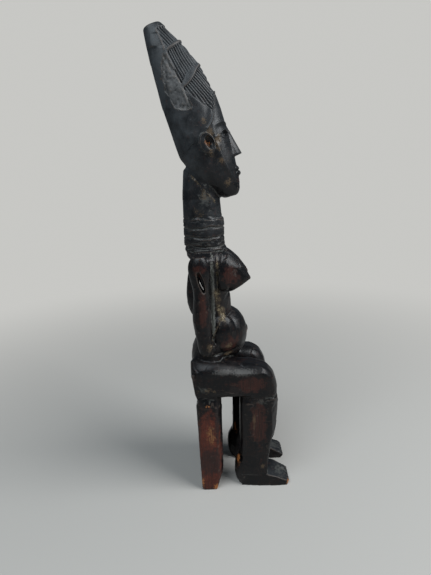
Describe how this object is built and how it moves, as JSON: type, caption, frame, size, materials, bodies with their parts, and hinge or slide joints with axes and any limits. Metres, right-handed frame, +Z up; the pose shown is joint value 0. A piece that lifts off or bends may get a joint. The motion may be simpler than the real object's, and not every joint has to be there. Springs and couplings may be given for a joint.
{
  "type": "carved ancestor figure",
  "caption": "Seated wooden ancestor figure of a woman with a tall swept-back crested coiffure, ringed neck and full belly, on a stool with a broad board leg.",
  "frame": {"origin": "centre of the footprint at floor level, midway between the toes and the tip of the coiffure", "axes": "+Z up, the figure faces -Y, its right side is at -X"},
  "size_m": [0.0862, 0.1358, 0.48],
  "materials": {
    "stained_wood": "near-black stained and oiled hardwood, satin, worn to red-brown on the high spots"
  },
  "bodies": {
    "root": {"coiffure": "stained_wood", "head": "stained_wood", "neck": "stained_wood", "trunk": "stained_wood", "stool_seat": "stained_wood", "stool_board_leg": "stained_wood", "right_arm": "stained_wood", "left_arm": "stained_wood", "right_thigh": "stained_wood", "left_thigh": "stained_wood", "right_shin": "stained_wood", "left_shin": "stained_wood", "right_foot": "stained_wood", "left_foot": "stained_wood"}
  },
  "joints": []
}
